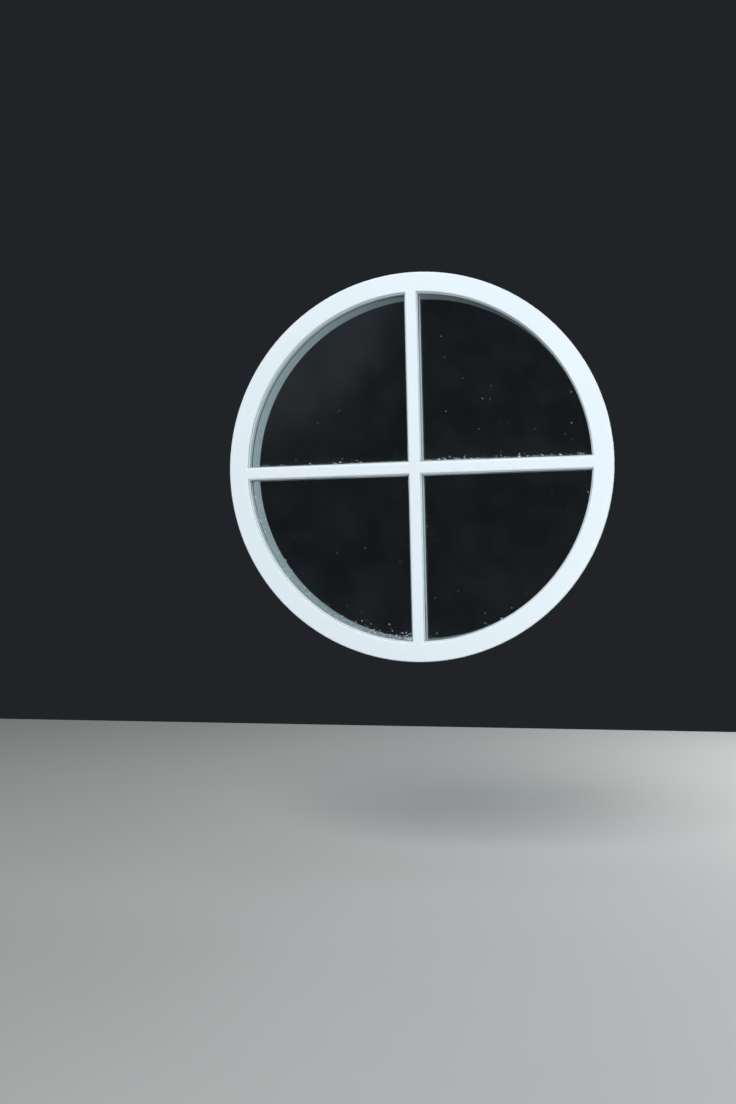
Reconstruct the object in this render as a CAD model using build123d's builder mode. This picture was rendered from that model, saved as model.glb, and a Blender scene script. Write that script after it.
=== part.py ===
from build123d import *
from math import cos, degrees, radians, sin, tan
import os

# Fixed round window in white coated steel. A rolled ring and a cross of T bars are welded into
# one frame, and each quarter between the bars holds its own double-glazed unit.
# X points right as seen from outside, Y into the building and Z up. The origin is the centre
# of the ring, halfway through its depth. All sizes are millimetres and degrees.

# Ring: a rolled box section with a flat stop for the glass along its outer edge
outer_diameter = 850.0
frame_depth = 90.0
tube_width = 30.0
tube_wall = 3.0
tube_corner_radius = 4.0
stop_height = 13.0
stop_thickness = 6.0
edge_radius = 3.0

# Bars: T sections, flush with the face of the ring
bar_width = 25.0
web_thickness = 6.0

# Tapped holes in the back of the ring, for the straps that tie it to the wall
fixing_holes = 8
fixing_hole_radius = 2.5

# Double-glazed units
pane_thickness = 4.0
cavity_depth = 16.0
edge_clearance = 3.0
edge_seal_width = 4.0
spacer_width = 6.5

# Strips and sealant round the glass
tape_thickness = 2.0
gasket_thickness = 3.0
strip_width = 6.0
sealant_width = 3.0
sealant_rise = 3.0
sealant_nose = 0.6

# Packers under the glass
block_length = 50.0
block_inset = 90.0
lower_block_angles = (12.0, 52.0)

# Glazing beads on the room side
bar_bead_depth = 18.0
bar_bead_edge_radius = 1.5
rim_bead_setback = 2.0
rim_bead_wall = 2.0
rim_bead_corner_radius = 2.5
bead_end_gap = 0.3

# Countersunk screws, with the same clearance all round
screw_radius = 2.0
screw_head_radius = 3.8
screw_head_angle = 90.0
screw_sink = 0.3
rim_screw_length = 20.0
bar_screw_length = 13.5
rim_screws = 3
rim_screw_end_angle = 13.0
bar_screw_end_inset = 45.0
bar_screw_stagger = 14.0

# Clearance between curved pieces that seat on each other
seat_gap = 0.1

# Radii from the centre of the ring, and depths in from its outer face
outer_radius = outer_diameter / 2
rebate_radius = outer_radius - tube_width
sight_radius = rebate_radius - stop_height
glass_radius = rebate_radius - edge_clearance
bar_half = bar_width / 2
web_half = web_thickness / 2
glass_edge = web_half + edge_clearance
glass_front = stop_thickness + tape_thickness
unit_depth = 2 * pane_thickness + cavity_depth
glass_back = glass_front + unit_depth
bead_front = glass_back + gasket_thickness
bar_depth = bead_front + bar_bead_depth
rim_bead_depth = frame_depth - rim_bead_setback - bead_front
half_depth = frame_depth / 2

# The quarters are one set of pieces turned about the Y axis, clockwise as seen from outside
QUARTERS = {"upper_right": 0, "lower_right": 90, "lower_left": 180, "upper_left": 270}

os.makedirs("parts", exist_ok=True)


def layer(depth):
    """Upright sketch plane at a depth behind the outer face; extruding by a minus goes inwards."""
    return Plane.XZ.offset(half_depth - depth)


def save(piece, name):
    piece.part.label = name
    export_step(piece.part, f"parts/{name}.step")


def quarter_outline(edge, radius):
    """The upper right quarter of a disc, cut back from the middle of both bars."""
    with BuildSketch() as outline:
        Circle(radius)
        with Locations((edge, edge)):
            Rectangle(radius, radius, align=(Align.MIN, Align.MIN), mode=Mode.INTERSECT)
    return outline.sketch


def quarter_sheet(depth, thickness, edge, radius):
    """A flat sheet of the upper right quarter."""
    with BuildPart() as sheet:
        with BuildSketch(layer(depth)):
            add(quarter_outline(edge, radius))
        extrude(amount=-thickness)
    return sheet


def quarter_strip(depth, thickness, edge, radius, width):
    """A strip that runs round the edge of the upper right quarter."""
    with BuildPart() as strip:
        add(quarter_sheet(depth, thickness, edge, radius).part)
        add(quarter_sheet(depth, thickness, edge + width, radius - width).part, mode=Mode.SUBTRACT)
    return strip


def save_in_quarters(piece, name):
    """Writes the piece of the upper right quarter four times, turned into each quarter."""
    for quarter, turn in QUARTERS.items():
        with BuildPart() as turned:
            add(piece.part, rotation=(0, turn, 0))
        save(turned, f"{quarter}_{name}")


def in_all_quarters(planes):
    """Places in the upper right quarter, with their copies in the other three."""
    turns = [Location((0, 0, 0), (0, turn, 0)) for turn in QUARTERS.values()]
    return [turn * plane.location for turn in turns for plane in planes]


# Where the screws go in: each plane lies on a bead, with its normal out of the bead
rim_screw_step = (90 - 2 * rim_screw_end_angle) / (rim_screws - 1)
rim_screw_y = bead_front + rim_bead_depth / 2 - half_depth
rim_screw_planes = [
    Plane(
        origin=(sight_radius * cos(radians(angle)), rim_screw_y, sight_radius * sin(radians(angle))),
        x_dir=(0, 1, 0),
        z_dir=(-cos(radians(angle)), 0, -sin(radians(angle))),
    )
    for angle in [rim_screw_end_angle + rim_screw_step * place for place in range(rim_screws)]
]

bar_screw_y = bead_front + bar_bead_depth / 2 - half_depth
long_screw_places = (bar_screw_end_inset, sight_radius - bar_screw_end_inset)
short_screw_places = [place - bar_screw_stagger for place in long_screw_places]
long_screw_planes = [
    Plane(origin=(bar_half, bar_screw_y, place), x_dir=(0, 1, 0), z_dir=(1, 0, 0))
    for place in long_screw_places
]
short_screw_planes = [
    Plane(origin=(place, bar_screw_y, bar_half), x_dir=(0, 1, 0), z_dir=(0, 0, 1))
    for place in short_screw_places
]


# The frame as it leaves the welder, ground flush and with its sight edges rounded
with BuildPart() as welded_frame:
    with BuildSketch(Plane.XY) as ring_section:
        with BuildLine():
            Polyline(
                (sight_radius, -half_depth),
                (outer_radius, -half_depth),
                (outer_radius, half_depth),
                (rebate_radius, half_depth),
                (rebate_radius, stop_thickness - half_depth),
                (sight_radius, stop_thickness - half_depth),
                close=True,
            )
        make_face()
        fillet(ring_section.vertices().group_by(Axis.Y)[-1], tube_corner_radius)
    revolve(axis=Axis.Y)
    with BuildSketch(layer(0)):
        Rectangle(bar_width, outer_diameter)
        Rectangle(outer_diameter, bar_width)
        Circle(rebate_radius, mode=Mode.INTERSECT)
    extrude(amount=-stop_thickness)
    with BuildSketch(layer(stop_thickness)):
        Rectangle(web_thickness, outer_diameter)
        Rectangle(outer_diameter, web_thickness)
        Circle(rebate_radius, mode=Mode.INTERSECT)
    extrude(amount=stop_thickness - bar_depth)
    fillet(faces().sort_by(Axis.Y)[0].edges(), edge_radius)
    with BuildSketch(Plane.XY):
        with Locations((rebate_radius + tube_width / 2, 0)):
            Rectangle(tube_width - 2 * tube_wall, frame_depth - 2 * tube_wall)
    revolve(axis=Axis.Y, mode=Mode.SUBTRACT)
    with Locations(*in_all_quarters(long_screw_planes + short_screw_planes)):
        Hole(screw_radius + seat_gap, bar_half + web_half)

# The ring ends at its sight edge in front, and at its wall behind the stop
with BuildPart() as ring_opening:
    with BuildSketch(layer(0)):
        Circle(sight_radius)
    extrude(amount=-stop_thickness)
    with BuildSketch(layer(stop_thickness)):
        Circle(rebate_radius)
    extrude(amount=stop_thickness - frame_depth)

with BuildPart() as crossed_bars:
    add(welded_frame.part)
    add(ring_opening.part, mode=Mode.INTERSECT)

# The vertical bar runs through, and the level bars end against its face and its web
with BuildPart() as beside_vertical_bar:
    with BuildSketch(layer(0)):
        Rectangle(outer_diameter, outer_diameter)
        Rectangle(bar_width, outer_diameter, mode=Mode.SUBTRACT)
    extrude(amount=-stop_thickness)
    with BuildSketch(layer(stop_thickness)):
        Rectangle(outer_diameter, outer_diameter)
        Rectangle(web_thickness, outer_diameter, mode=Mode.SUBTRACT)
    extrude(amount=stop_thickness - bar_depth)

with BuildPart() as vertical_bar:
    add(crossed_bars.part)
    add(beside_vertical_bar.part, mode=Mode.SUBTRACT)

with BuildPart() as level_bars:
    add(crossed_bars.part)
    add(beside_vertical_bar.part, mode=Mode.INTERSECT)

with BuildPart() as left_bar:
    add(level_bars.part.solids().sort_by(Axis.X)[0])

with BuildPart() as right_bar:
    add(level_bars.part.solids().sort_by(Axis.X)[-1])

with BuildPart() as ring:
    add(welded_frame.part)
    add(crossed_bars.part, mode=Mode.SUBTRACT)
    with BuildSketch(layer(frame_depth)):
        with PolarLocations(rebate_radius + tube_width / 2, fixing_holes, 180 / fixing_holes):
            Circle(fixing_hole_radius)
    extrude(amount=tube_wall, mode=Mode.SUBTRACT)
    with Locations(*in_all_quarters(rim_screw_planes)):
        Hole(screw_radius + seat_gap, stop_height + 2 * tube_wall)

save(ring, "ring")
save(vertical_bar, "vertical_bar")
save(left_bar, "left_bar")
save(right_bar, "right_bar")

# One double-glazed unit: two panes, held apart by a spacer and sealed round the outside
seal_depth = glass_front + pane_thickness
outer_pane = quarter_sheet(glass_front, pane_thickness, glass_edge, glass_radius)
inner_pane = quarter_sheet(seal_depth + cavity_depth, pane_thickness, glass_edge, glass_radius)
edge_seal = quarter_strip(seal_depth, cavity_depth, glass_edge, glass_radius, edge_seal_width)
spacer = quarter_strip(
    seal_depth,
    cavity_depth,
    glass_edge + edge_seal_width,
    glass_radius - edge_seal_width,
    spacer_width,
)
save_in_quarters(outer_pane, "outer_pane")
save_in_quarters(inner_pane, "inner_pane")
save_in_quarters(edge_seal, "edge_seal")
save_in_quarters(spacer, "spacer")

# Strips that the glass is bedded on, outside and inside
tape_edge = bar_half - strip_width
tape_radius = sight_radius + strip_width
glazing_tape = quarter_strip(stop_thickness, tape_thickness, tape_edge, tape_radius, strip_width)
gasket = quarter_strip(glass_back, gasket_thickness, tape_edge, tape_radius, strip_width)
save_in_quarters(glazing_tape, "glazing_tape")
save_in_quarters(gasket, "gasket")

# The tooled line of sealant slopes from the frame's edge down to the glass
with BuildPart() as sealant:
    add(quarter_sheet(glass_front - sealant_rise, sealant_rise, bar_half, sight_radius - seat_gap).part)
    with BuildSketch(layer(glass_front)):
        add(quarter_outline(bar_half + sealant_width, sight_radius - sealant_width))
    with BuildSketch(layer(glass_front - sealant_rise)):
        add(quarter_outline(bar_half + sealant_nose, sight_radius - seat_gap - sealant_nose))
    loft(ruled=True, mode=Mode.SUBTRACT)
save_in_quarters(sealant, "sealant")

# The rim bead is a rolled box section with two rounded corners that show. Its ends are notched
# round the webs of the bars and their beads
with BuildPart() as rim_bead:
    bead_height = stop_height - seat_gap
    with BuildSketch(Plane.XY) as bead_section:
        with Locations((sight_radius + bead_height / 2, bead_front + rim_bead_depth / 2 - half_depth)):
            Rectangle(bead_height, rim_bead_depth)
            Rectangle(
                bead_height - 2 * rim_bead_wall,
                rim_bead_depth - 2 * rim_bead_wall,
                mode=Mode.SUBTRACT,
            )
        fillet(bead_section.vertices().group_by(Axis.X)[0], rim_bead_corner_radius)
    revolve(axis=Axis.Y)
    with BuildSketch(layer(bead_front)):
        add(quarter_outline(bead_end_gap, outer_radius))
    extrude(amount=-rim_bead_depth, mode=Mode.INTERSECT)
    with BuildSketch(layer(bead_front)):
        notch = web_half + bead_end_gap
        with Locations((notch / 2, outer_radius / 2), (outer_radius / 2, notch / 2)):
            Rectangle(notch, outer_radius)
        with Locations((outer_radius / 2, notch / 2)):
            Rectangle(outer_radius, notch)
    extrude(amount=-bar_bead_depth - bead_end_gap, mode=Mode.SUBTRACT)
    with Locations(*rim_screw_planes):
        CounterSinkHole(
            screw_radius + seat_gap,
            screw_head_radius + seat_gap,
            depth=stop_height,
            counter_sink_angle=screw_head_angle,
        )
save_in_quarters(rim_bead, "rim_bead")


def straight_bead(start_x, start_z, end_x, end_z, screw_planes):
    """A flat bar between two corners, cut to the curve of the rim bead and rounded at its sight edge."""
    with BuildPart() as bead:
        with BuildSketch(layer(bead_front)):
            with Locations(((start_x + end_x) / 2, (start_z + end_z) / 2)):
                Rectangle(end_x - start_x, end_z - start_z)
            Circle(sight_radius - bead_end_gap, mode=Mode.INTERSECT)
        extrude(amount=-bar_bead_depth)
        long_edges = bead.faces().sort_by(Axis.Y)[-1].edges().filter_by(GeomType.LINE)
        sight_edge = long_edges.sort_by(lambda edge: edge.length)[-2:]
        fillet(sight_edge.sort_by(lambda edge: edge.center().X + edge.center().Z)[-1], bar_bead_edge_radius)
        with Locations(*screw_planes):
            CounterSinkHole(
                screw_radius + seat_gap,
                screw_head_radius + seat_gap,
                depth=bar_width,
                counter_sink_angle=screw_head_angle,
            )
    return bead


long_bead = straight_bead(web_half, web_half, bar_half, outer_radius, long_screw_planes)
short_bead = straight_bead(bar_half, web_half, outer_radius, bar_half, short_screw_planes)
save_in_quarters(long_bead, "long_bead")
save_in_quarters(short_bead, "short_bead")

# Packers: flat ones on the level bars, curved ones low in the ring
for name, side in {"upper_right": 1, "upper_left": -1}.items():
    with BuildPart() as flat_blocks:
        with BuildSketch(layer(glass_front)):
            far_place = glass_radius - block_inset
            with Locations(
                (side * block_inset, web_half + edge_clearance / 2),
                (side * far_place, web_half + edge_clearance / 2),
            ):
                Rectangle(block_length, edge_clearance)
        extrude(amount=-unit_depth)
    save(flat_blocks, f"{name}_setting_blocks")

block_angle = degrees(block_length / rebate_radius)
with BuildPart() as curved_block:
    with BuildSketch(Plane.XY):
        with Locations(((glass_radius + rebate_radius) / 2, glass_front + unit_depth / 2 - half_depth)):
            Rectangle(edge_clearance - 2 * seat_gap, unit_depth)
    revolve(axis=Axis.Y, revolution_arc=block_angle)
for name, side in {"lower_right": 1, "lower_left": -1}.items():
    with BuildPart() as curved_blocks:
        for angle in lower_block_angles:
            add(curved_block.part, rotation=(0, 90 - side * angle - block_angle / 2, 0))
    save(curved_blocks, f"{name}_setting_blocks")


def screws(planes, length):
    """Countersunk screws, each driven in along the normal of its plane, heads just under the bead."""
    slope = tan(radians(screw_head_angle / 2))
    with BuildPart() as one_screw:
        with BuildSketch(Plane.XZ):
            with BuildLine():
                Polyline(
                    (0, -screw_sink),
                    (screw_head_radius - screw_sink * slope, -screw_sink),
                    (screw_radius, (screw_radius - screw_head_radius) / slope),
                    (screw_radius, -length),
                    (0, -length),
                    close=True,
                )
            make_face()
        revolve(axis=Axis.Z)
    with BuildPart() as set_of_screws:
        with Locations(*planes):
            add(one_screw.part)
    return set_of_screws


save(screws(in_all_quarters(rim_screw_planes), rim_screw_length), "rim_bead_screws")
save(screws(in_all_quarters(long_screw_planes), bar_screw_length), "long_bead_screws")
save(screws(in_all_quarters(short_screw_planes), bar_screw_length), "short_bead_screws")
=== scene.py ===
# %% [markdown]
# # A round window
#
# The window is a flat-faced steel ring, crossed by two slim bars that are flush with it. Each
# quarter holds its own double-glazed unit, bedded in sealant outside and held by screwed beads
# inside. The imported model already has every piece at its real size. This script gives each piece
# its finish, and makes what is too fine or too uneven for that model: the tooled sealant, the
# threads and recesses of the screws, and the dried drops on the glass.
#
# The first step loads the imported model. Its nodes stay where they are.

# %% Load the window
from math import radians

import bpy
import numpy as np
from mathutils import Matrix, Vector


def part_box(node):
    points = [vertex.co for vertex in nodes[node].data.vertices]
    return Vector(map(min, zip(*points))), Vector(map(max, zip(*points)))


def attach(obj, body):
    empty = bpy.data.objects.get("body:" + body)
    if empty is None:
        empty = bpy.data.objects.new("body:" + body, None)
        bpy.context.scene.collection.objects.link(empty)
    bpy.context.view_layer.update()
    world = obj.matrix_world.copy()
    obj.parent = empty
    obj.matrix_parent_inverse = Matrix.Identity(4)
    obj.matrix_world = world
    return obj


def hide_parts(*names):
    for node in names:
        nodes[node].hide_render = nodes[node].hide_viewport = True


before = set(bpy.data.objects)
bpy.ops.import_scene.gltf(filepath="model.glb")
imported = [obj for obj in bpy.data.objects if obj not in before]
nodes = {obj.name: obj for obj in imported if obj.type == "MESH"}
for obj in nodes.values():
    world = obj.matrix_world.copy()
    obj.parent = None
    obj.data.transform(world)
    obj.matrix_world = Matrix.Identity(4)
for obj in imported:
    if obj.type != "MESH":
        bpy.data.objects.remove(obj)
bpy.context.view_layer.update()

# %% [markdown]
# ## Sizes that everything else follows
#
# A box round a node says where a piece begins and ends. The ring gives the outer radius and the
# outer face, and the drawn sealant gives the edges of the glass that shows: its edge beside the
# bars, and its radius under the ring. Reading them here means that nothing is typed in twice.

# %% Read the sizes off the nodes
ring_low, ring_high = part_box("ring")
pane_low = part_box("upper_right_outer_pane")[0]
sealant_low, sealant_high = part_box("upper_right_sealant")
ring_radius = ring_high.x
face_y = ring_low.y
glass_y = pane_low.y
sight_edge = sealant_low.x
sight_radius = Vector((sealant_high.x, sealant_low.z)).length
sealant_rise = sealant_high.y - sealant_low.y
print("ring radius", round(ring_radius, 4), " glass behind the face", round(glass_y - face_y, 4))
print("sight edge", round(sight_edge, 4), " sight radius", round(sight_radius, 4))

# %% [markdown]
# ## The camera
#
# The photograph was taken from the right of the window, a little below its middle, with the camera
# turned to the left and a touch down. A camera could be aimed by pointing it at the window, but then
# the window would sit in the middle of the picture. Here the camera gets its own turn, tilt and roll,
# in that order, so that the window lies where it does in the photograph. Distances are counted in
# ring radii, because a photograph shows only proportions.

# %% Place the camera
PHOTO_WIDTH, PHOTO_HEIGHT = 736, 1104
focal_length_in_pixels = 1057.4
camera_in_radii = Vector((0.9448, -5.3603, -0.2710))
camera_turn, camera_tilt, camera_roll = radians(12.61), radians(-1.62), radians(-1.42)

# Blender measures the sensor along the longer side of the picture, which is its height here
lens = bpy.data.cameras.new("camera")
lens.sensor_width = 36.0
lens.lens = focal_length_in_pixels / PHOTO_HEIGHT * lens.sensor_width
camera = bpy.data.objects.new("camera", lens)
bpy.context.scene.collection.objects.link(camera)
level_gaze = Matrix.Rotation(radians(90), 3, "X")
camera_facing = (
    Matrix.Rotation(camera_turn, 3, "Z")
    @ Matrix.Rotation(camera_tilt, 3, "X")
    @ level_gaze
    @ Matrix.Rotation(camera_roll, 3, "Z")
)
ring_middle = Vector((0, face_y, 0))
camera_place = ring_middle + camera_in_radii * ring_radius
camera.matrix_world = Matrix.Translation(camera_place) @ camera_facing.to_4x4()
bpy.context.scene.camera = camera


def place_in_photo(point):
    """Where a point of the model lands in the photograph, in pixels from the top left."""
    seen = camera_facing.transposed() @ (point - camera_place)
    across = PHOTO_WIDTH / 2 - focal_length_in_pixels * seen.x / seen.z
    down = PHOTO_HEIGHT / 2 + focal_length_in_pixels * seen.y / seen.z
    return round(across, 1), round(down, 1)


print("lens", round(lens.lens, 2), "mm; the ring's middle lands at", place_in_photo(ring_middle))

# %% [markdown]
# ## A short way to write nodes
#
# Blender builds materials and Geometry Nodes from the same kind of tree. Written out in full, each
# node takes several lines. Two small classes keep it readable. `Plan` adds a node with its settings
# and its sockets in one call. `Wire` is one output of a node, and sums with it add Math nodes, so
# `dust * 0.2 + 0.4` in the script becomes two nodes in the tree.

# %% Helpers for node trees
class Wire:
    """One output in a node tree, which can be used in sums."""

    def __init__(self, plan, socket):
        self.plan = plan
        self.socket = socket

    def other(self, name):
        """Another output of the same node."""
        return Wire(self.plan, self.socket.node.outputs[name])

    def __add__(self, value):
        return self.plan.math("ADD", self, value)

    def __radd__(self, value):
        return self.plan.math("ADD", value, self)

    def __sub__(self, value):
        return self.plan.math("SUBTRACT", self, value)

    def __rsub__(self, value):
        return self.plan.math("SUBTRACT", value, self)

    def __mul__(self, value):
        return self.plan.math("MULTIPLY", self, value)

    def __rmul__(self, value):
        return self.plan.math("MULTIPLY", value, self)

    def __truediv__(self, value):
        return self.plan.math("DIVIDE", self, value)

    def __pow__(self, value):
        return self.plan.math("POWER", self, value)

    def clamped(self):
        """The same value, held between 0 and 1."""
        return self.plan.node("ShaderNodeClamp", {}, {0: self})


class Plan:
    """A node tree that is built one call at a time."""

    def __init__(self, tree):
        self.tree = tree
        tree.nodes.clear()

    def node(self, kind, settings=None, sockets=None, output=0):
        """Adds a node: its settings are set first, then its sockets get values or wires."""
        made = self.tree.nodes.new(kind)
        for name, value in (settings or {}).items():
            setattr(made, name, value)
        for name, value in (sockets or {}).items():
            for part in value if isinstance(value, list) else [value]:
                if isinstance(part, Wire):
                    self.tree.links.new(part.socket, made.inputs[name])
                else:
                    made.inputs[name].default_value = part
        return Wire(self, made.outputs[output]) if len(made.outputs) else None

    def math(self, operation, first, second=0.0):
        return self.node("ShaderNodeMath", {"operation": operation}, {0: first, 1: second})

    def vector(self, x=0.0, y=0.0, z=0.0):
        """Three values as one vector."""
        return self.node("ShaderNodeCombineXYZ", {}, {"X": x, "Y": y, "Z": z})

    def split(self, vector):
        """The x, y and z of a vector."""
        x = self.node("ShaderNodeSeparateXYZ", {}, {0: vector})
        return x, x.other("Y"), x.other("Z")

    def length(self, x, z):
        """How far a point in the window's plane is from the middle."""
        return self.math("SQRT", x * x + z * z)


# %% [markdown]
# ## Finishes
#
# Every finish below starts from Object coordinates. The model is in metres and its objects sit at
# the origin, so a noise scale of 1000 gives marks of about a millimetre, and a pattern runs on from
# one piece to the next without a jump. A colour between two others goes through a Mix node, because
# a Math node would turn it grey.

# %% Helpers for finishes
def start_finish(name):
    material = bpy.data.materials.new(name)
    material.use_nodes = True
    return material, Plan(material.node_tree)


def end_finish(plan, shader):
    plan.node("ShaderNodeOutputMaterial", {}, {"Surface": shader})


def object_place(plan):
    return plan.node("ShaderNodeTexCoord", output="Object")


def noise(plan, per_metre, detail=2.0):
    """Soft noise between 0 and 1, with about this many marks in a metre."""
    sockets = {"Vector": object_place(plan), "Scale": per_metre, "Detail": detail}
    return plan.node("ShaderNodeTexNoise", {}, sockets)


def contrast(plan, value, low, high):
    """Spreads the part of a noise between two values over the whole range from 0 to 1."""
    return plan.node("ShaderNodeMapRange", {}, {"Value": value, "From Min": low, "From Max": high})


def as_colour(colour):
    """A colour for a socket: a wire as it is, or red, green and blue with the alpha added."""
    return colour if isinstance(colour, Wire) else (*colour, 1.0)


def mixed(plan, amount, first, second):
    """A colour between two others."""
    sockets = {0: amount, 6: as_colour(first), 7: as_colour(second)}
    return plan.node("ShaderNodeMix", {"data_type": "RGBA"}, sockets, output=2)


def bumped(plan, height, depth):
    """The surface's direction, tilted by a height field that is this many metres deep."""
    return plan.node("ShaderNodeBump", {}, {"Distance": depth, "Height": height})


def facing_up(plan):
    """How far a surface faces up: 1 on top, 0 on a side and -1 underneath."""
    return plan.split(plan.node("ShaderNodeNewGeometry", output="Normal"))[2]


def surface(plan, colour, roughness, **others):
    """Blender's usual shader, with its other sockets by their names."""
    sockets = {"Base Color": as_colour(colour), "Roughness": roughness, **others}
    return plan.node("ShaderNodeBsdfPrincipled", {}, sockets)


# %% [markdown]
# ### White powder coat
#
# The ring, the bars and the beads are coated steel. Powder is baked until it flows together, which
# leaves a satin film with a very shallow orange peel: soft hills a few millimetres apart and a few
# hundredths of a millimetre high. A plain white would look like plaster. The coat needs the peel in
# its reflections, a film that is a little uneven in gloss, the thin dust that settles on what faces
# up, and a dark line where the coat meets the sealant. That line is painted shade on the frame's side
# walls next to the sealant, with a little grime. A rule draws it: it lies deep in the frame and in
# front of the glass, and nowhere else.

# %% White powder coat
# The dark colour tints the dust, and draws the seam line: painted shade on the side walls, with some
# grime
DIRT_AND_SHADE_COLOUR = (0.13, 0.16, 0.16)
shade_and_dirt_depth, shade_and_dirt_fade = 0.0022, 0.0012
frame_edge_width = 0.003
dust_strength, shade_and_dirt_strength = 0.22, 0.85
peel_depth, grit_share = 0.00006, 0.15
coat_roughness, cloud_roughness, dust_roughness = 0.3, 0.12, 0.25


def seam_shade_and_dirt(plan):
    """Painted shade with some grime: 0 at the frame's face, and 1 on the last millimetres before the
    sealant.
    """
    x, depth, z = plan.split(object_place(plan))
    below_face = ((depth - face_y - shade_and_dirt_depth) / shade_and_dirt_fade).clamped()
    before_glass = plan.math("LESS_THAN", depth, glass_y)
    inside_ring = plan.math("LESS_THAN", plan.length(x, z), sight_radius + frame_edge_width)
    return below_face * before_glass * inside_ring


def powder_coat(name, white, shaded):
    """A satin coat that drifts between two whites, with peel, dust, and painted seam shade with grime.
    """
    material, plan = start_finish(name)
    film = mixed(plan, noise(plan, per_metre=4.0), white, shaded)
    dust_patches = contrast(plan, noise(plan, per_metre=60.0, detail=4.0), low=0.35, high=0.75)
    dust = (facing_up(plan) * 0.9).clamped() * dust_patches
    # Dust on what faces up, and the seam line by the sealant: painted shade with some grime
    dirt_and_shade = (dust * dust_strength + seam_shade_and_dirt(plan) * shade_and_dirt_strength).clamped()
    peel = noise(plan, per_metre=380.0, detail=1.0)
    grit = noise(plan, per_metre=2600.0, detail=1.0)
    gloss_cloud = noise(plan, per_metre=25.0)
    shader = surface(
        plan,
        colour=mixed(plan, dirt_and_shade, film, DIRT_AND_SHADE_COLOUR),
        roughness=coat_roughness + gloss_cloud * cloud_roughness + dust * dust_roughness,
        Normal=bumped(plan, peel + grit * grit_share, peel_depth),
    )
    end_finish(plan, shader)
    return material


frame_coat = powder_coat("frame_coat", white=(0.83, 0.9, 0.92), shaded=(0.79, 0.85, 0.9))
bead_coat = powder_coat("bead_coat", white=(0.8, 0.85, 0.86), shaded=(0.77, 0.82, 0.84))
print("coats:", frame_coat.name, bead_coat.name)

# %% [markdown]
# ### Glass
#
# A pane lets most light through and mirrors the rest, more of it at a flat angle. Real refraction
# would be slow here, and it would keep the lamps from lighting what is behind the glass. So the
# shader mixes a clear, faintly tinted surface with a mirror. The Fresnel node could set the share of
# each, but on the inner face of a thin sheet it turns everything to mirror at a slant. The Facing
# value of Layer Weight is the same on both faces, and with Schlick's rule it gives the share that
# glass has: 4 percent head on, and all of it at a grazing angle.
#
# The outer pane also carries what rain leaves: a haze, faint above each level bar and thicker inside
# the ring at the lower left. Its mask is the distance to those edges, broken up by noise. Both
# panes are very slightly wavy, which softens what they mirror.

# %% Haze on the outer pane
haze_reach = 0.022
bar_haze_strength = 0.22
least_patchy = 0.25


def rain_haze(plan):
    """Where rain has dried: 1 at the edge below the glass, and 0 further up than the reach."""
    x, _, z = plan.split(object_place(plan))
    is_upper = plan.math("GREATER_THAN", z, 0.0)
    over_bar = (1.0 - (z - sight_edge) / haze_reach).clamped() * is_upper

    # Inside the ring it starts 3 cm under the middle, and has faded out 14 cm to the right of it
    from_ring = (sight_radius - plan.length(x, z)) / haze_reach
    lower_share = (z * -3.5 - 0.1).clamped()
    left_share = (0.3 - x * 2.2).clamped()
    in_ring = (1.0 - from_ring).clamped() * lower_share * left_share

    specks = contrast(plan, noise(plan, per_metre=300.0, detail=4.0), low=0.42, high=0.72)
    patches = contrast(plan, noise(plan, per_metre=26.0, detail=1.0), low=0.3, high=0.7)
    patchy = least_patchy + patches * (1 - least_patchy)
    return (over_bar * bar_haze_strength + in_ring) ** 2.0 * specks * patchy


# %% Glass
GLASS_TINT = (0.8, 0.835, 0.84)
MIRROR_TINT = (0.92, 0.95, 0.97)
DUST_COLOUR = (0.7, 0.74, 0.76)
mirrored_head_on = 0.04
wave_depth = 0.0003
mirror_roughness, mirror_cloud = 0.07, 0.06
haze_share, dust_share = 0.8, 0.006


def mirror_share(plan):
    """Schlick's rule for how much of the light a sheet of glass mirrors."""
    slant = plan.node("ShaderNodeLayerWeight", {}, {"Blend": 0.5}, output="Facing")
    return slant ** 5.0 * (1 - mirrored_head_on) + mirrored_head_on


def pane_glass(name, is_weathered):
    material, plan = start_finish(name)
    clear = plan.node("ShaderNodeBsdfTransparent", {}, {"Color": as_colour(GLASS_TINT)})
    mirror = surface(
        plan,
        colour=MIRROR_TINT,
        roughness=mirror_roughness + noise(plan, per_metre=9.0) * mirror_cloud,
        Metallic=1.0,
        Normal=bumped(plan, noise(plan, per_metre=5.0, detail=0.0), wave_depth),
    )
    glass = plan.node("ShaderNodeMixShader", {}, {0: mirror_share(plan), 1: clear, 2: mirror})
    if is_weathered:
        dust = contrast(plan, noise(plan, per_metre=12.0, detail=4.0), low=0.4, high=0.8)
        share = (rain_haze(plan) * haze_share + dust * dust_share).clamped()
        film = surface(plan, colour=DUST_COLOUR, roughness=0.9)
        glass = plan.node("ShaderNodeMixShader", {}, {0: share, 1: glass, 2: film})
    end_finish(plan, glass)
    return material


outer_glass = pane_glass("outer_glass", is_weathered=True)
inner_glass = pane_glass("inner_glass", is_weathered=False)
print("glass:", outer_glass.name, inner_glass.name)

# %% [markdown]
# ### Sealant, strips and seals
#
# These are all soft and matt, but they aren't the same. The pale sealant is smoothed with a wet
# tool, which leaves faint ripples along it, and a little dust stays on it. The strips are moulded
# rubber, dull and even. The seal inside the unit is a thick black paste, glossier and lumpier, the
# spacer is a pale grey strip with fine pores, and the packers are smooth blue plastic. Each could
# have a shader of its own, but they differ only in numbers. So one function makes them all, from two
# colours, the size and depth of the grain, and the roughness.

# %% Soft finishes
GREY_FILM = (0.3, 0.29, 0.26)
grains_in_a_patch = 18


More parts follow.
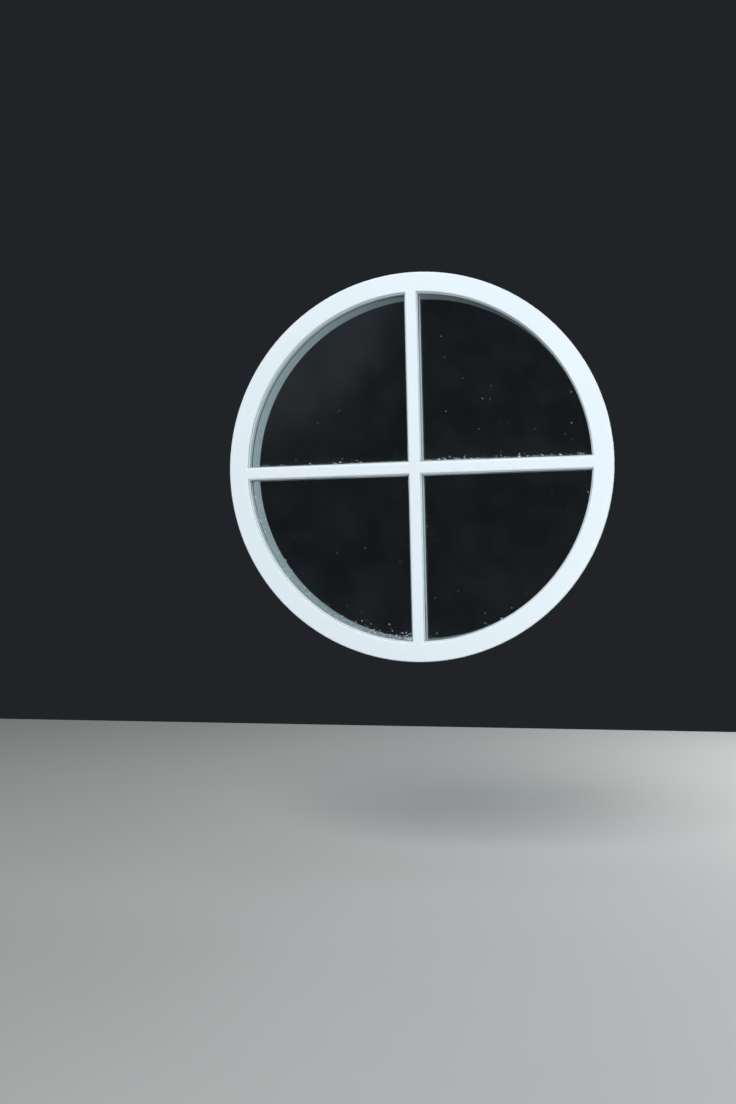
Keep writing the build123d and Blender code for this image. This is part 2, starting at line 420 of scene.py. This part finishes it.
def soft_finish(name, light, dark, per_metre, depth, roughness, dust=0.0):
    """Patches of two colours, under a grain with so many marks in a metre and so deep."""
    material, plan = start_finish(name)
    grain = noise(plan, per_metre, detail=3.0)
    patches = noise(plan, per_metre / grains_in_a_patch)
    colour = mixed(plan, contrast(plan, patches, low=0.3, high=0.7), light, dark)
    settled = (facing_up(plan) * 0.8).clamped() * dust
    shader = surface(
        plan,
        colour=mixed(plan, settled, colour, GREY_FILM),
        roughness=roughness + patches * 0.15,
        Normal=bumped(plan, grain + patches * 2.0, depth),
    )
    end_finish(plan, shader)
    return material


sealant_finish = soft_finish(
    "sealant_skin", (0.8, 0.86, 0.87), (0.74, 0.8, 0.82), 900.0, depth=0.00008, roughness=0.5, dust=0.3
)
strip_finish = soft_finish(
    "rubber_strip", (0.03, 0.03, 0.032), (0.02, 0.02, 0.022), 1800.0, depth=0.00004, roughness=0.62
)
edge_seal_finish = soft_finish(
    "edge_seal_paste", (0.02, 0.02, 0.022), (0.012, 0.012, 0.014), 420.0, depth=0.0003, roughness=0.35
)
spacer_finish = soft_finish(
    "pale_spacer", (0.74, 0.76, 0.77), (0.66, 0.69, 0.7), 2400.0, depth=0.00008, roughness=0.5
)
packer_finish = soft_finish(
    "packer_plastic", (0.06, 0.12, 0.27), (0.05, 0.1, 0.23), 1500.0, depth=0.00003, roughness=0.38
)
soft_finishes = (sealant_finish, strip_finish, edge_seal_finish, spacer_finish, packer_finish)
print("soft finishes:", [material.name for material in soft_finishes])

# %% [markdown]
# ### Screws and dried drops
#
# The bead screws are plain stainless steel. Turning and driving them leaves fine marks on the metal,
# so the steel gets a fine grain that tilts its surface and changes its gloss. The drops on the glass
# are what rain leaves when it dries: chalky, nearly white and quite dull.

# %% Metal and chalk
def turned_steel():
    material, plan = start_finish("turned_steel")
    grain = noise(plan, per_metre=3500.0)
    stain = noise(plan, per_metre=90.0, detail=3.0)
    shader = surface(
        plan,
        colour=mixed(plan, stain, (0.66, 0.65, 0.62), (0.5, 0.49, 0.47)),
        roughness=0.24 + grain * 0.2,
        Metallic=1.0,
        Normal=bumped(plan, grain, depth=0.00002),
    )
    end_finish(plan, shader)
    return material


def dried_lime():
    material, plan = start_finish("dried_lime")
    crust = noise(plan, per_metre=1800.0, detail=3.0)
    shader = surface(
        plan,
        colour=mixed(plan, crust, (0.72, 0.75, 0.76), (0.42, 0.44, 0.45)),
        roughness=0.6 + crust * 0.3,
        Normal=bumped(plan, crust, depth=0.00005),
    )
    end_finish(plan, shader)
    return material


steel = turned_steel()
lime = dried_lime()
print("metal and chalk:", steel.name, lime.name)

# %% [markdown]
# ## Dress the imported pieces
#
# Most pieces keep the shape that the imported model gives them, and only their material changes. The
# name of a node says which piece it is, so one table of name endings is enough for all quarters.

# %% Give each node its finish
FINISHES = {
    "ring": frame_coat,
    "vertical_bar": frame_coat,
    "left_bar": frame_coat,
    "right_bar": frame_coat,
    "outer_pane": outer_glass,
    "inner_pane": inner_glass,
    "sealant": sealant_finish,
    "glazing_tape": strip_finish,
    "gasket": strip_finish,
    "edge_seal": edge_seal_finish,
    "spacer": spacer_finish,
    "rim_bead": bead_coat,
    "long_bead": bead_coat,
    "short_bead": bead_coat,
    "setting_blocks": packer_finish,
    "screws": steel,
}
for name, node in nodes.items():
    ending = next(ending for ending in FINISHES if name.endswith(ending))
    node.data.materials.clear()
    node.data.materials.append(FINISHES[ending])
print("dressed", len(nodes), "nodes")

# %% [markdown]
# ## Run a Geometry Nodes tree once
#
# A tree is a recipe with named inputs. The helpers below open a new tree with its inputs, end it,
# and run it on a carrier object. The result is turned into a plain mesh, and the carrier is thrown
# away. Shapes that start inside a tree bring an empty material slot with them, so only the real
# one is kept. What is left is an ordinary object at the origin, which can ride on the window.

# %% Helpers for Geometry Nodes
def numbers(*labels):
    """Inputs that are plain numbers."""
    return dict.fromkeys(labels, "NodeSocketFloat")


def start_recipe(name, inputs):
    """A new tree. inputs gives each input's name and its socket type."""
    tree = bpy.data.node_groups.new(name, "GeometryNodeTree")
    for label, kind in {"Geometry": "NodeSocketGeometry", **inputs}.items():
        tree.interface.new_socket(name=label, in_out="INPUT", socket_type=kind)
    tree.interface.new_socket(name="Geometry", in_out="OUTPUT", socket_type="NodeSocketGeometry")
    plan = Plan(tree)
    return tree, plan, plan.node("NodeGroupInput")


def moved(plan, geometry, **sockets):
    """Moves, turns or scales geometry, by its Translation, Rotation or Scale."""
    return plan.node("GeometryNodeTransform", {}, {"Geometry": geometry, **sockets})


def end_recipe(plan, geometry, material):
    """Ends every recipe the same way: real geometry, with its material."""
    real = plan.node("GeometryNodeRealizeInstances", {}, {"Geometry": geometry})
    painted = plan.node("GeometryNodeSetMaterial", {}, {"Geometry": real, "Material": material})
    plan.node("NodeGroupOutput", {}, {"Geometry": painted})


def run_recipe(tree, name, values, points=None):
    """Runs a tree with its input values and gives back a finished object."""
    carrier_mesh = points or bpy.data.meshes.new(name + "_carrier")
    carrier = bpy.data.objects.new(name + "_carrier", carrier_mesh)
    bpy.context.scene.collection.objects.link(carrier)
    modifier = carrier.modifiers.new(tree.name, "NODES")
    modifier.node_group = tree
    inputs = (item for item in tree.interface.items_tree if item.in_out == "INPUT")
    identifiers = {item.name: item.identifier for item in inputs}
    for label, value in values.items():
        modifier[identifiers[label]] = value
    evaluated = carrier.evaluated_get(bpy.context.evaluated_depsgraph_get())
    mesh = bpy.data.meshes.new_from_object(evaluated)
    finish = next(material for material in mesh.materials if material)
    mesh.materials.clear()
    mesh.materials.append(finish)
    carrier.modifiers.remove(modifier)
    bpy.data.objects.remove(carrier)
    piece = bpy.data.objects.new(name, mesh)
    bpy.context.scene.collection.objects.link(piece)
    return piece


def smooth_within(piece, degrees):
    """Shades a piece smooth, apart from edges sharper than this."""
    piece.data.shade_smooth()
    piece.data.set_sharp_from_angle(angle=radians(degrees))


# %% [markdown]
# ## Tooled sealant
#
# The pale line between the frame and the glass is a bead of sealant, pressed into the corner and
# drawn smooth with a tool. It runs round the whole quarter: along one bar, round the ring and back
# along the other bar, with a sharp mitre in each corner. Sweeping a profile along a curve would pinch
# it at those corners. So the recipe bends a flat grid by rule instead. One direction of the grid,
# `along`, goes from 0 to 3 once round the quarter. The other, `across`, goes from 0 to 3 once round
# the bead's section. A point's distance from the sight edge and its height on the frame follow from
# `across`, and then every corner mitres by itself, because the whole outline moves in by that
# distance.
#
# A line drawn by hand is never quite even, so its width follows a slow noise. This noise is at rest
# at every whole number, and it runs over a whole number of waves, so the line's two ends meet.

# %% Rules for the sealant
GRID_SIZE = 3.0
ALONG_STEPS, ACROSS_STEPS = 240, 15
waves_along_a_side = 21.0
face_curve = 1.5
seam_gap = 0.00001


def sealant_section(plan, given, along, across):
    """How far a point is from the sight edge, and how high above the glass. The face is hollow."""
    down_face = across.clamped()
    along_glass = (across - 1.0).clamped()
    up_frame = (across - 2.0).clamped()
    settings, sockets = {"noise_dimensions": "1D"}, {"W": along * waves_along_a_side, "Detail": 1.0}
    hand = plan.node("ShaderNodeTexNoise", settings, sockets)
    width = given.other("Width") + (hand - 0.5) * given.other("Wobble")
    inset = width * (down_face - along_glass)
    height = given.other("Rise") * ((1.0 - down_face) ** face_curve + up_frame)
    return inset, height


def sealant_outline(plan, given, along, inset):
    """A point's place in the window's plane: out along one bar, round the ring and back."""
    edge = given.other("Sight Edge") + inset
    radius = given.other("Sight Radius") - inset
    reach = plan.math("SQRT", radius * radius - edge * edge)
    first_angle = plan.math("ARCSINE", edge / radius)
    angle = first_angle + (radians(90) - first_angle * 2.0) * (along - 1.0).clamped()
    out_bar = (reach - edge) * (1.0 - along.clamped())
    back_bar = (reach - edge) * (along - 2.0).clamped()
    x = radius * plan.math("COSINE", angle) - out_bar
    z = radius * plan.math("SINE", angle) - back_bar
    return x, z


# %% Recipe for the sealant
def sealant_recipe():
    inputs = numbers("Sight Edge", "Sight Radius", "Glass", "Width", "Rise", "Wobble", "Turn")
    tree, plan, given = start_recipe("tooled_sealant", inputs)
    sockets = {"Size X": GRID_SIZE, "Size Y": GRID_SIZE}
    sockets |= {"Vertices X": ALONG_STEPS + 1, "Vertices Y": ACROSS_STEPS + 1}
    grid = plan.node("GeometryNodeMeshGrid", {}, sockets)
    grid_x, grid_y, _ = plan.split(plan.node("GeometryNodeInputPosition"))
    along, across = grid_x + GRID_SIZE / 2, grid_y + GRID_SIZE / 2

    inset, height = sealant_section(plan, given, along, across)
    x, z = sealant_outline(plan, given, along, inset)
    place = plan.vector(x, given.other("Glass") - height, z)
    bent = plan.node("GeometryNodeSetPosition", {}, {"Geometry": grid, "Position": place})
    closed = plan.node("GeometryNodeMergeByDistance", {}, {"Geometry": bent, "Distance": seam_gap})
    turned = moved(plan, closed, Rotation=plan.vector(y=given.other("Turn")))
    end_recipe(plan, turned, sealant_finish)
    return tree


# %% [markdown]
# ### Lay the sealant
#
# The four quarters are one shape, turned about the middle of the ring. The recipe has the turn as an
# input, so it runs once for each quarter. Each line stands for the plain sealant that the packed
# model has there, which is hidden.

# %% Lay the sealant in each quarter
QUARTERS = {"upper_right": 0, "lower_right": 90, "lower_left": 180, "upper_left": 270}
sealant_width = 0.002
sealant_wobble = 0.0005
sealant_tree = sealant_recipe()
for quarter, turn in QUARTERS.items():
    values = {
        "Sight Edge": sight_edge,
        "Sight Radius": sight_radius,
        "Glass": glass_y,
        "Width": sealant_width,
        "Rise": sealant_rise,
        "Wobble": sealant_wobble,
        "Turn": radians(turn),
    }
    line = run_recipe(sealant_tree, f"{quarter}_tooled_sealant", values)
    smooth_within(line, degrees=40)
    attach(line, "root")
    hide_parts(f"{quarter}_sealant")
print("sealant:", len(line.data.polygons), "faces a quarter")

# %% [markdown]
# ## Bead screws
#
# Twenty-eight countersunk screws hold the beads. Every screw of a kind is the same shape, so it is
# made once and placed many times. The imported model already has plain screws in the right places.
# The next cell finds them: the points of one screw lie close together, its axis is the direction in
# which they spread most, and the head is at the wider end.

# %% Find the screws of a node
screw_spacing = 0.025
rounding = 1e-4


def find_screws(node_name):
    """The middle of each head, the way each head faces, and the length and radii of a screw."""
    points = np.array([v.co for v in nodes[node_name].data.vertices])
    points = np.unique(points.round(6), axis=0)
    heads, axes = [], []
    while len(points):
        near = np.linalg.norm(points - points[0], axis=1) < screw_spacing
        screw, points = points[near], points[~near]
        middle = screw.mean(axis=0)
        axis = np.linalg.svd(screw - middle, full_matrices=False)[2][0]
        height = (screw - middle) @ axis
        width = np.linalg.norm((screw - middle) - np.outer(height, axis), axis=1)
        at_top = height > height.max() - rounding
        at_foot = height < height.min() + rounding
        if width[at_top].max() < width[at_foot].max():
            axis, height, at_top, at_foot = -axis, -height, at_foot, at_top
        heads.append(middle + axis * height.max())
        axes.append(axis)
    length = height.max() - height.min()
    return heads, axes, length, width[at_top].max(), width[at_foot].max()


# %% [markdown]
# ### The head of a screw
#
# The recipe builds a screw along its own Z axis, with the top of its head at height 0. The head is a
# cone with a cross-shaped recess. The recess could be drawn as faces one by one, but it is easier to
# cut it as the factory does, with a tool of its shape: a four-sided tapered block, turned so that its
# sides lie square to the cross. Made thin one way it cuts one arm, and made thin the other way it
# cuts the second. The boolean uses its exact solver, because the usual one leaves open edges where
# the two arms meet.

# %% Recipe for the head
HEAD_SIDES = 32
recess_top, recess_foot, recess_depth = 0.86, 0.2, 0.85
blade_height = 0.95
arm_thickness = 0.24


def tapered(plan, sides, top, foot, height):
    """A cone or a block that stands on height 0 and gets wider or narrower towards the top."""
    sockets = {"Vertices": sides, "Radius Top": top, "Radius Bottom": foot, "Depth": height}
    return plan.node("GeometryNodeMeshCone", {}, sockets)


def screw_head(plan, given):
    radius, height = given.other("Head Radius"), given.other("Head Depth")
    head = tapered(plan, HEAD_SIDES, radius, given.other("Shank Radius"), height)
    head = moved(plan, head, Translation=plan.vector(z=height * -1.0))
    blade = tapered(plan, 4, radius * recess_top, radius * recess_foot, height * blade_height)
    blade = moved(plan, blade, Rotation=(0.0, 0.0, radians(45)))
    sink = plan.vector(z=height * -recess_depth)
    for thin in ((1.0, arm_thickness, 1.0), (arm_thickness, 1.0, 1.0)):
        cutter = moved(plan, blade, Translation=sink, Scale=thin)
        sockets = {"Mesh 1": head, "Mesh 2": cutter}
        head = plan.node("GeometryNodeMeshBoolean", {"solver": "EXACT"}, sockets)
    return head


# %% [markdown]
# ### The shank and its thread
#
# Under the head is a slightly tapered core with a thread round it. A bump in the material would do
# from far away, but the thread is real geometry, so that it shows in outline too. A spiral that
# climbs without getting wider is a helix, and a small triangle swept along it makes the ridge.

# %% Recipe for the shank
CORE_SIDES = 20
STEPS_A_TURN = 16
core_taper = 0.9
core_start, thread_start = 0.8, 1.6


def screw_shank(plan, given):
    """The core reaches into the head, and the thread starts below it, both in head depths."""
    length, head_depth = given.other("Length"), given.other("Head Depth")
    thread_depth = given.other("Thread Depth")
    core_radius = given.other("Shank Radius") - thread_depth
    core_length = length - head_depth * core_start
    thread_length = length - head_depth * thread_start
    foot = plan.vector(z=length * -1.0)
    core = tapered(plan, CORE_SIDES, core_radius, core_radius * core_taper, core_length)
    sockets = {
        "Resolution": STEPS_A_TURN,
        "Rotations": thread_length / given.other("Thread Pitch"),
        "Start Radius": core_radius,
        "End Radius": core_radius,
        "Height": thread_length,
    }
    helix = plan.node("GeometryNodeCurveSpiral", {}, sockets)
    triangle = {"Resolution": 3, "Radius": thread_depth}
    section = plan.node("GeometryNodeCurvePrimitiveCircle", {}, triangle)
    sockets = {"Curve": helix, "Profile Curve": section, "Fill Caps": True}
    ridge = plan.node("GeometryNodeCurveToMesh", {}, sockets)
    return [moved(plan, core, Translation=foot), moved(plan, ridge, Translation=foot)]


# %% [markdown]
# ### A screw in every hole
#
# A copy of the screw goes on every point. Its Z axis turns towards the direction that the point
# carries, and a random twist about that axis keeps the crosses from lining up, as they never do on a
# real window. The seed is fixed, so each run gives the same.

# %% Recipe for the screws
def screw_recipe():
    inputs = numbers("Length", "Head Radius", "Shank Radius", "Head Depth")
    inputs |= numbers("Thread Pitch", "Thread Depth")
    tree, plan, given = start_recipe("countersunk_screw", {**inputs, "Seed": "NodeSocketInt"})
    parts = [screw_head(plan, given), *screw_shank(plan, given)]
    screw = plan.node("GeometryNodeJoinGeometry", {}, {"Geometry": parts})

    settings = {"data_type": "FLOAT_VECTOR"}
    axis = plan.node("GeometryNodeInputNamedAttribute", settings, {"Name": "axis"})
    aligned = plan.node("FunctionNodeAlignRotationToVector", {"axis": "Z"}, {"Vector": axis})
    sockets = {2: 0.0, 3: radians(90), "Seed": given.other("Seed")}
    twist = plan.node("FunctionNodeRandomValue", {"data_type": "FLOAT"}, sockets, output=1)
    sockets = {"Rotation": aligned, "Rotate By": plan.vector(z=twist)}
    rotation = plan.node("FunctionNodeRotateRotation", {"rotation_space": "LOCAL"}, sockets)
    sockets = {"Points": given, "Instance": screw, "Rotation": rotation}
    end_recipe(plan, plan.node("GeometryNodeInstanceOnPoints", {}, sockets), steel)
    return tree


# %% [markdown]
# ### Drive the screws
#
# The screws that were found become points with a direction each, and the recipe runs on those
# points, once for the screws of each kind of bead. A head that slopes at 45 degrees is as deep as
# it is wider than the shank.

# %% Drive the screws
thread_pitch, thread_depth = 0.0008, 0.00035
screw_tree = screw_recipe()
for seed, kind in enumerate(("rim", "long", "short")):
    heads, axes, length, head_radius, shank_radius = find_screws(f"{kind}_bead_screws")
    points = bpy.data.meshes.new(f"{kind}_screw_points")
    points.from_pydata([tuple(head) for head in heads], [], [])
    attribute = points.attributes.new("axis", "FLOAT_VECTOR", "POINT")
    attribute.data.foreach_set("vector", np.array(axes, dtype=np.float32).ravel())
    values = {
        "Length": float(length),
        "Head Radius": float(head_radius),
        "Shank Radius": float(shank_radius),
        "Head Depth": float(head_radius - shank_radius),
        "Thread Pitch": thread_pitch,
        "Thread Depth": thread_depth,
        "Seed": seed,
    }
    screws = run_recipe(screw_tree, f"{kind}_cross_head_screws", values, points)
    smooth_within(screws, degrees=35)
    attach(screws, "root")
    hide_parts(f"{kind}_bead_screws")
    face_count = len(screws.data.polygons)
    print(kind, "screws:", len(heads), " length", round(length * 1000, 1), "mm ", face_count, "faces")

# %% [markdown]
# ## Dried drops
#
# Rain dries on the panes and leaves chalky specks. Most of them sit low, where water gathers: just
# above the level bars in the upper panes, and just above the ring in the lower ones. A few are
# scattered higher up. Placing them by hand would take hours and look too even. The recipe draws each
# place from random numbers instead. Minus the logarithm of a random number is mostly small and now
# and then large, which is how far a drop lies from the edge below it.

# %% Rules for the drops
NATURAL_BASE = 2.71828
least_draw = 0.0005
first_angle, angle_range, crowding = 0.04, radians(80), 2.2
smallest_share, rarity = 0.2, 4.0
drop_thickness = 0.16


def drop_place(plan, given, draw):
    """Above the straight edge of an upper pane, or inside the curve of a lower one.

    The lower drops crowd near the foot of the vertical bar. No draw is 0, which has no logarithm.
    """
    edge, radius, up = given.other("Edge"), given.other("Radius"), given.other("Up")
    logarithm = plan.math("LOGARITHM", draw(least_draw, 1.0, 11), NATURAL_BASE)
    distance = given.other("Spread") * logarithm * -1.0
    straight_x = edge + (radius - edge) * draw(0.0, 1.0, 12)
    straight_z = edge + distance
    from_below = first_angle + angle_range * draw(0.0, 1.0, 13) ** crowding
    curved_x = (radius - distance) * plan.math("SINE", from_below)
    curved_z = (radius - distance) * plan.math("COSINE", from_below)
    is_lower = plan.math("LESS_THAN", up, 0.0)
    x = straight_x + (curved_x - straight_x) * is_lower
    z = straight_z + (curved_z - straight_z) * is_lower
    return plan.vector(x * given.other("Side"), given.other("Glass"), z * up)


def off_the_pane(plan, given):
    """Whether a drop would lie on the frame."""
    x, _, z = plan.split(plan.node("GeometryNodeInputPosition"))
    x, z = plan.math("ABSOLUTE", x), plan.math("ABSOLUTE", z)
    beside = plan.math("LESS_THAN", plan.math("MINIMUM", x, z), given.other("Edge"))
    beyond = plan.math("GREATER_THAN", plan.length(x, z), given.other("Radius"))
    return plan.math("MAXIMUM", beside, beyond)


def drop_size(plan, given, draw):
    """A low dome, wider than it is tall. The power makes a few much larger than the rest."""
    share = smallest_share + (1 - smallest_share) * draw(0.0, 1.0, 14) ** rarity
    size = given.other("Largest") * share
    return plan.vector(size * draw(0.6, 1.6, 15), size * drop_thickness, size * draw(0.5, 0.9, 16))


# %% Recipe for the drops
DOME_SEGMENTS, DOME_RINGS = 8, 4
largest_tilt = 0.6


def drop_recipe():
    inputs = {"Count": "NodeSocketInt", "Seed": "NodeSocketInt"}
    inputs |= numbers("Side", "Up", "Edge", "Radius", "Spread", "Glass", "Largest")
    tree, plan, given = start_recipe("dried_drops", inputs)
    index = plan.node("GeometryNodeInputIndex")

    def draw(low, high, salt):
        """A random number for each drop. The salt keeps the draws apart."""
        sockets = {2: low, 3: high, "ID": index, "Seed": given.other("Seed") + salt}
        return plan.node("FunctionNodeRandomValue", {"data_type": "FLOAT"}, sockets, output=1)

    points = plan.node("GeometryNodePoints", {}, {"Count": given.other("Count")})
    sockets = {"Geometry": points, "Position": drop_place(plan, given, draw)}
    points = plan.node("GeometryNodeSetPosition", {}, sockets)
    sockets = {"Geometry": points, "Selection": off_the_pane(plan, given)}
    points = plan.node("GeometryNodeDeleteGeometry", {"domain": "POINT"}, sockets)

    sockets = {"Segments": DOME_SEGMENTS, "Rings": DOME_RINGS, "Radius": 1.0}
    dome = plan.node("GeometryNodeMeshUVSphere", {}, sockets)
    tilt = plan.vector(y=draw(-largest_tilt, largest_tilt, 17))
    size = drop_size(plan, given, draw)
    sockets = {"Points": points, "Instance": dome, "Rotation": tilt, "Scale": size}
    end_recipe(plan, plan.node("GeometryNodeInstanceOnPoints", {}, sockets), lime)
    return tree


# %% [markdown]
# ### Let the rain dry
#
# The recipe runs twice for each pane: for the crowd of drops low on it, and for the scattered ones.
# On the real window the lower left pane has by far the most, so the counts differ. Every run has a
# seed of its own, or the same pattern would show in each pane.

# %% Let the rain dry
# The side of the middle that a pane is on, whether it is up or down, and its count of low drops
PANES = {
    "upper_right": (1, 1, 140),
    "lower_right": (1, -1, 34),
    "lower_left": (-1, -1, 460),
    "upper_left": (-1, 1, 70),
}
SCATTERED_DROPS = 60
seed_step, patch_step = 100, 31

# How far the drops of a patch spread, and how large the largest is
over_bar, in_ring, scattered = (0.0016, 0.0021), (0.0058, 0.0018), (0.13, 0.001)

drop_tree = drop_recipe()
for order, (quarter, (side, up, low_drops)) in enumerate(PANES.items()):
    low_patch = (low_drops, *(over_bar if up > 0 else in_ring))
    patches = {"low": low_patch, "scattered": (SCATTERED_DROPS, *scattered)}
    faces = []
    for number, (patch, (count, spread, largest)) in enumerate(patches.items()):
        values = {
            "Count": count,
            "Seed": seed_step * order + patch_step * number,
            "Side": float(side),
            "Up": float(up),
            "Edge": sight_edge + sealant_width + largest,
            "Radius": sight_radius - sealant_width - largest,
            "Spread": spread,
            "Glass": glass_y,
            "Largest": largest,
        }
        drops = run_recipe(drop_tree, f"{quarter}_{patch}_drops", values)
        smooth_within(drops, degrees=60)
        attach(drops, "root")
        faces.append(len(drops.data.polygons))
    print(quarter, "drops:", faces, "faces")

# %% [markdown]
# ## The studio
#
# The window hangs over a plain pale floor. Its panes have to read as dark as they do in daylight, so
# the surroundings are a deep neutral grey: clear glass shows what is behind it. The floor stops a
# little behind the window for the same reason, since a pale floor further back would show through.

# %% Floor
def floor_finish():
    material, plan = start_finish("floor")
    cloud = noise(plan, per_metre=2.0, detail=3.0)
    colour = mixed(plan, cloud, (0.47, 0.46, 0.45), (0.43, 0.42, 0.41))
    end_finish(plan, surface(plan, colour, roughness=0.65 + cloud * 0.1))
    return material


floor_in_radii = -2.1
floor_height = floor_in_radii * ring_radius
floor_left, floor_right, floor_front, floor_back = -3.5, 3.5, -3.6, 1.6
floor_mesh = bpy.data.meshes.new("floor")
corners = [
    (floor_left, floor_front, floor_height),
    (floor_right, floor_front, floor_height),
    (floor_right, floor_back, floor_height),
    (floor_left, floor_back, floor_height),
]
floor_mesh.from_pydata(corners, [], [(0, 1, 2, 3)])
floor_mesh.materials.append(floor_finish())
floor = bpy.data.objects.new("floor", floor_mesh)
bpy.context.scene.collection.objects.link(floor)
print("floor:", round(-floor_height, 2), "m below the window's middle")

# %% [markdown]
# ### Lamps and surroundings
#
# Large soft lamps stand in for an overcast sky. The main one is high on the left in front. A weaker
# one in front on the right lights the faces square on, and one behind the window on the right lights
# what shows through the glass. None of these three stands where the panes would mirror it into the
# camera. The fourth does so on purpose: a large, very dim disk that the upper left pane mirrors
# softly, because glass that mirrors nothing at all looks like a hole.

# %% Lamps and surroundings
middle = (0, 0, 0)


def soft_lamp(name, place, aim, width, watts, colour):
    lamp = bpy.data.lights.new(name, "AREA")
    lamp.shape = "DISK"
    lamp.size = width
    lamp.energy = watts
    lamp.color = colour
    lamp_object = bpy.data.objects.new(name, lamp)
    turn = (Vector(aim) - Vector(place)).to_track_quat("-Z", "Y")
    lamp_object.matrix_world = Matrix.Translation(place) @ turn.to_matrix().to_4x4()
    lamp_object.visible_camera = False
    bpy.context.scene.collection.objects.link(lamp_object)
    print(name, "at", place, " width", width, "m ", watts, "W")


soft_lamp("main_lamp", (-0.9, -3.9, 4.6), middle, width=4.0, watts=310.0, colour=(0.94, 0.975, 1.0))
soft_lamp("fill_lamp", (1.7, -3.1, 0.0), middle, width=1.7, watts=54.0, colour=(0.9, 0.95, 1.0))
soft_lamp("room_lamp", (1.5, 1.3, 0.4), (-0.3, 0, 0), width=1.4, watts=44.0, colour=(0.92, 0.99, 1.0))
soft_lamp("sky_card", (-1.9, -3.5, 1.5), middle, width=2.6, watts=2.4, colour=(0.85, 0.92, 1.0))

surroundings = bpy.data.worlds.new("surroundings")
surroundings.use_nodes = True
deep_grey = surroundings.node_tree.nodes["Background"]
deep_grey.inputs["Color"].default_value = (0.016, 0.017, 0.02, 1.0)
deep_grey.inputs["Strength"].default_value = 1.0
bpy.context.scene.world = surroundings
bpy.context.scene.view_settings.view_transform = "Standard"
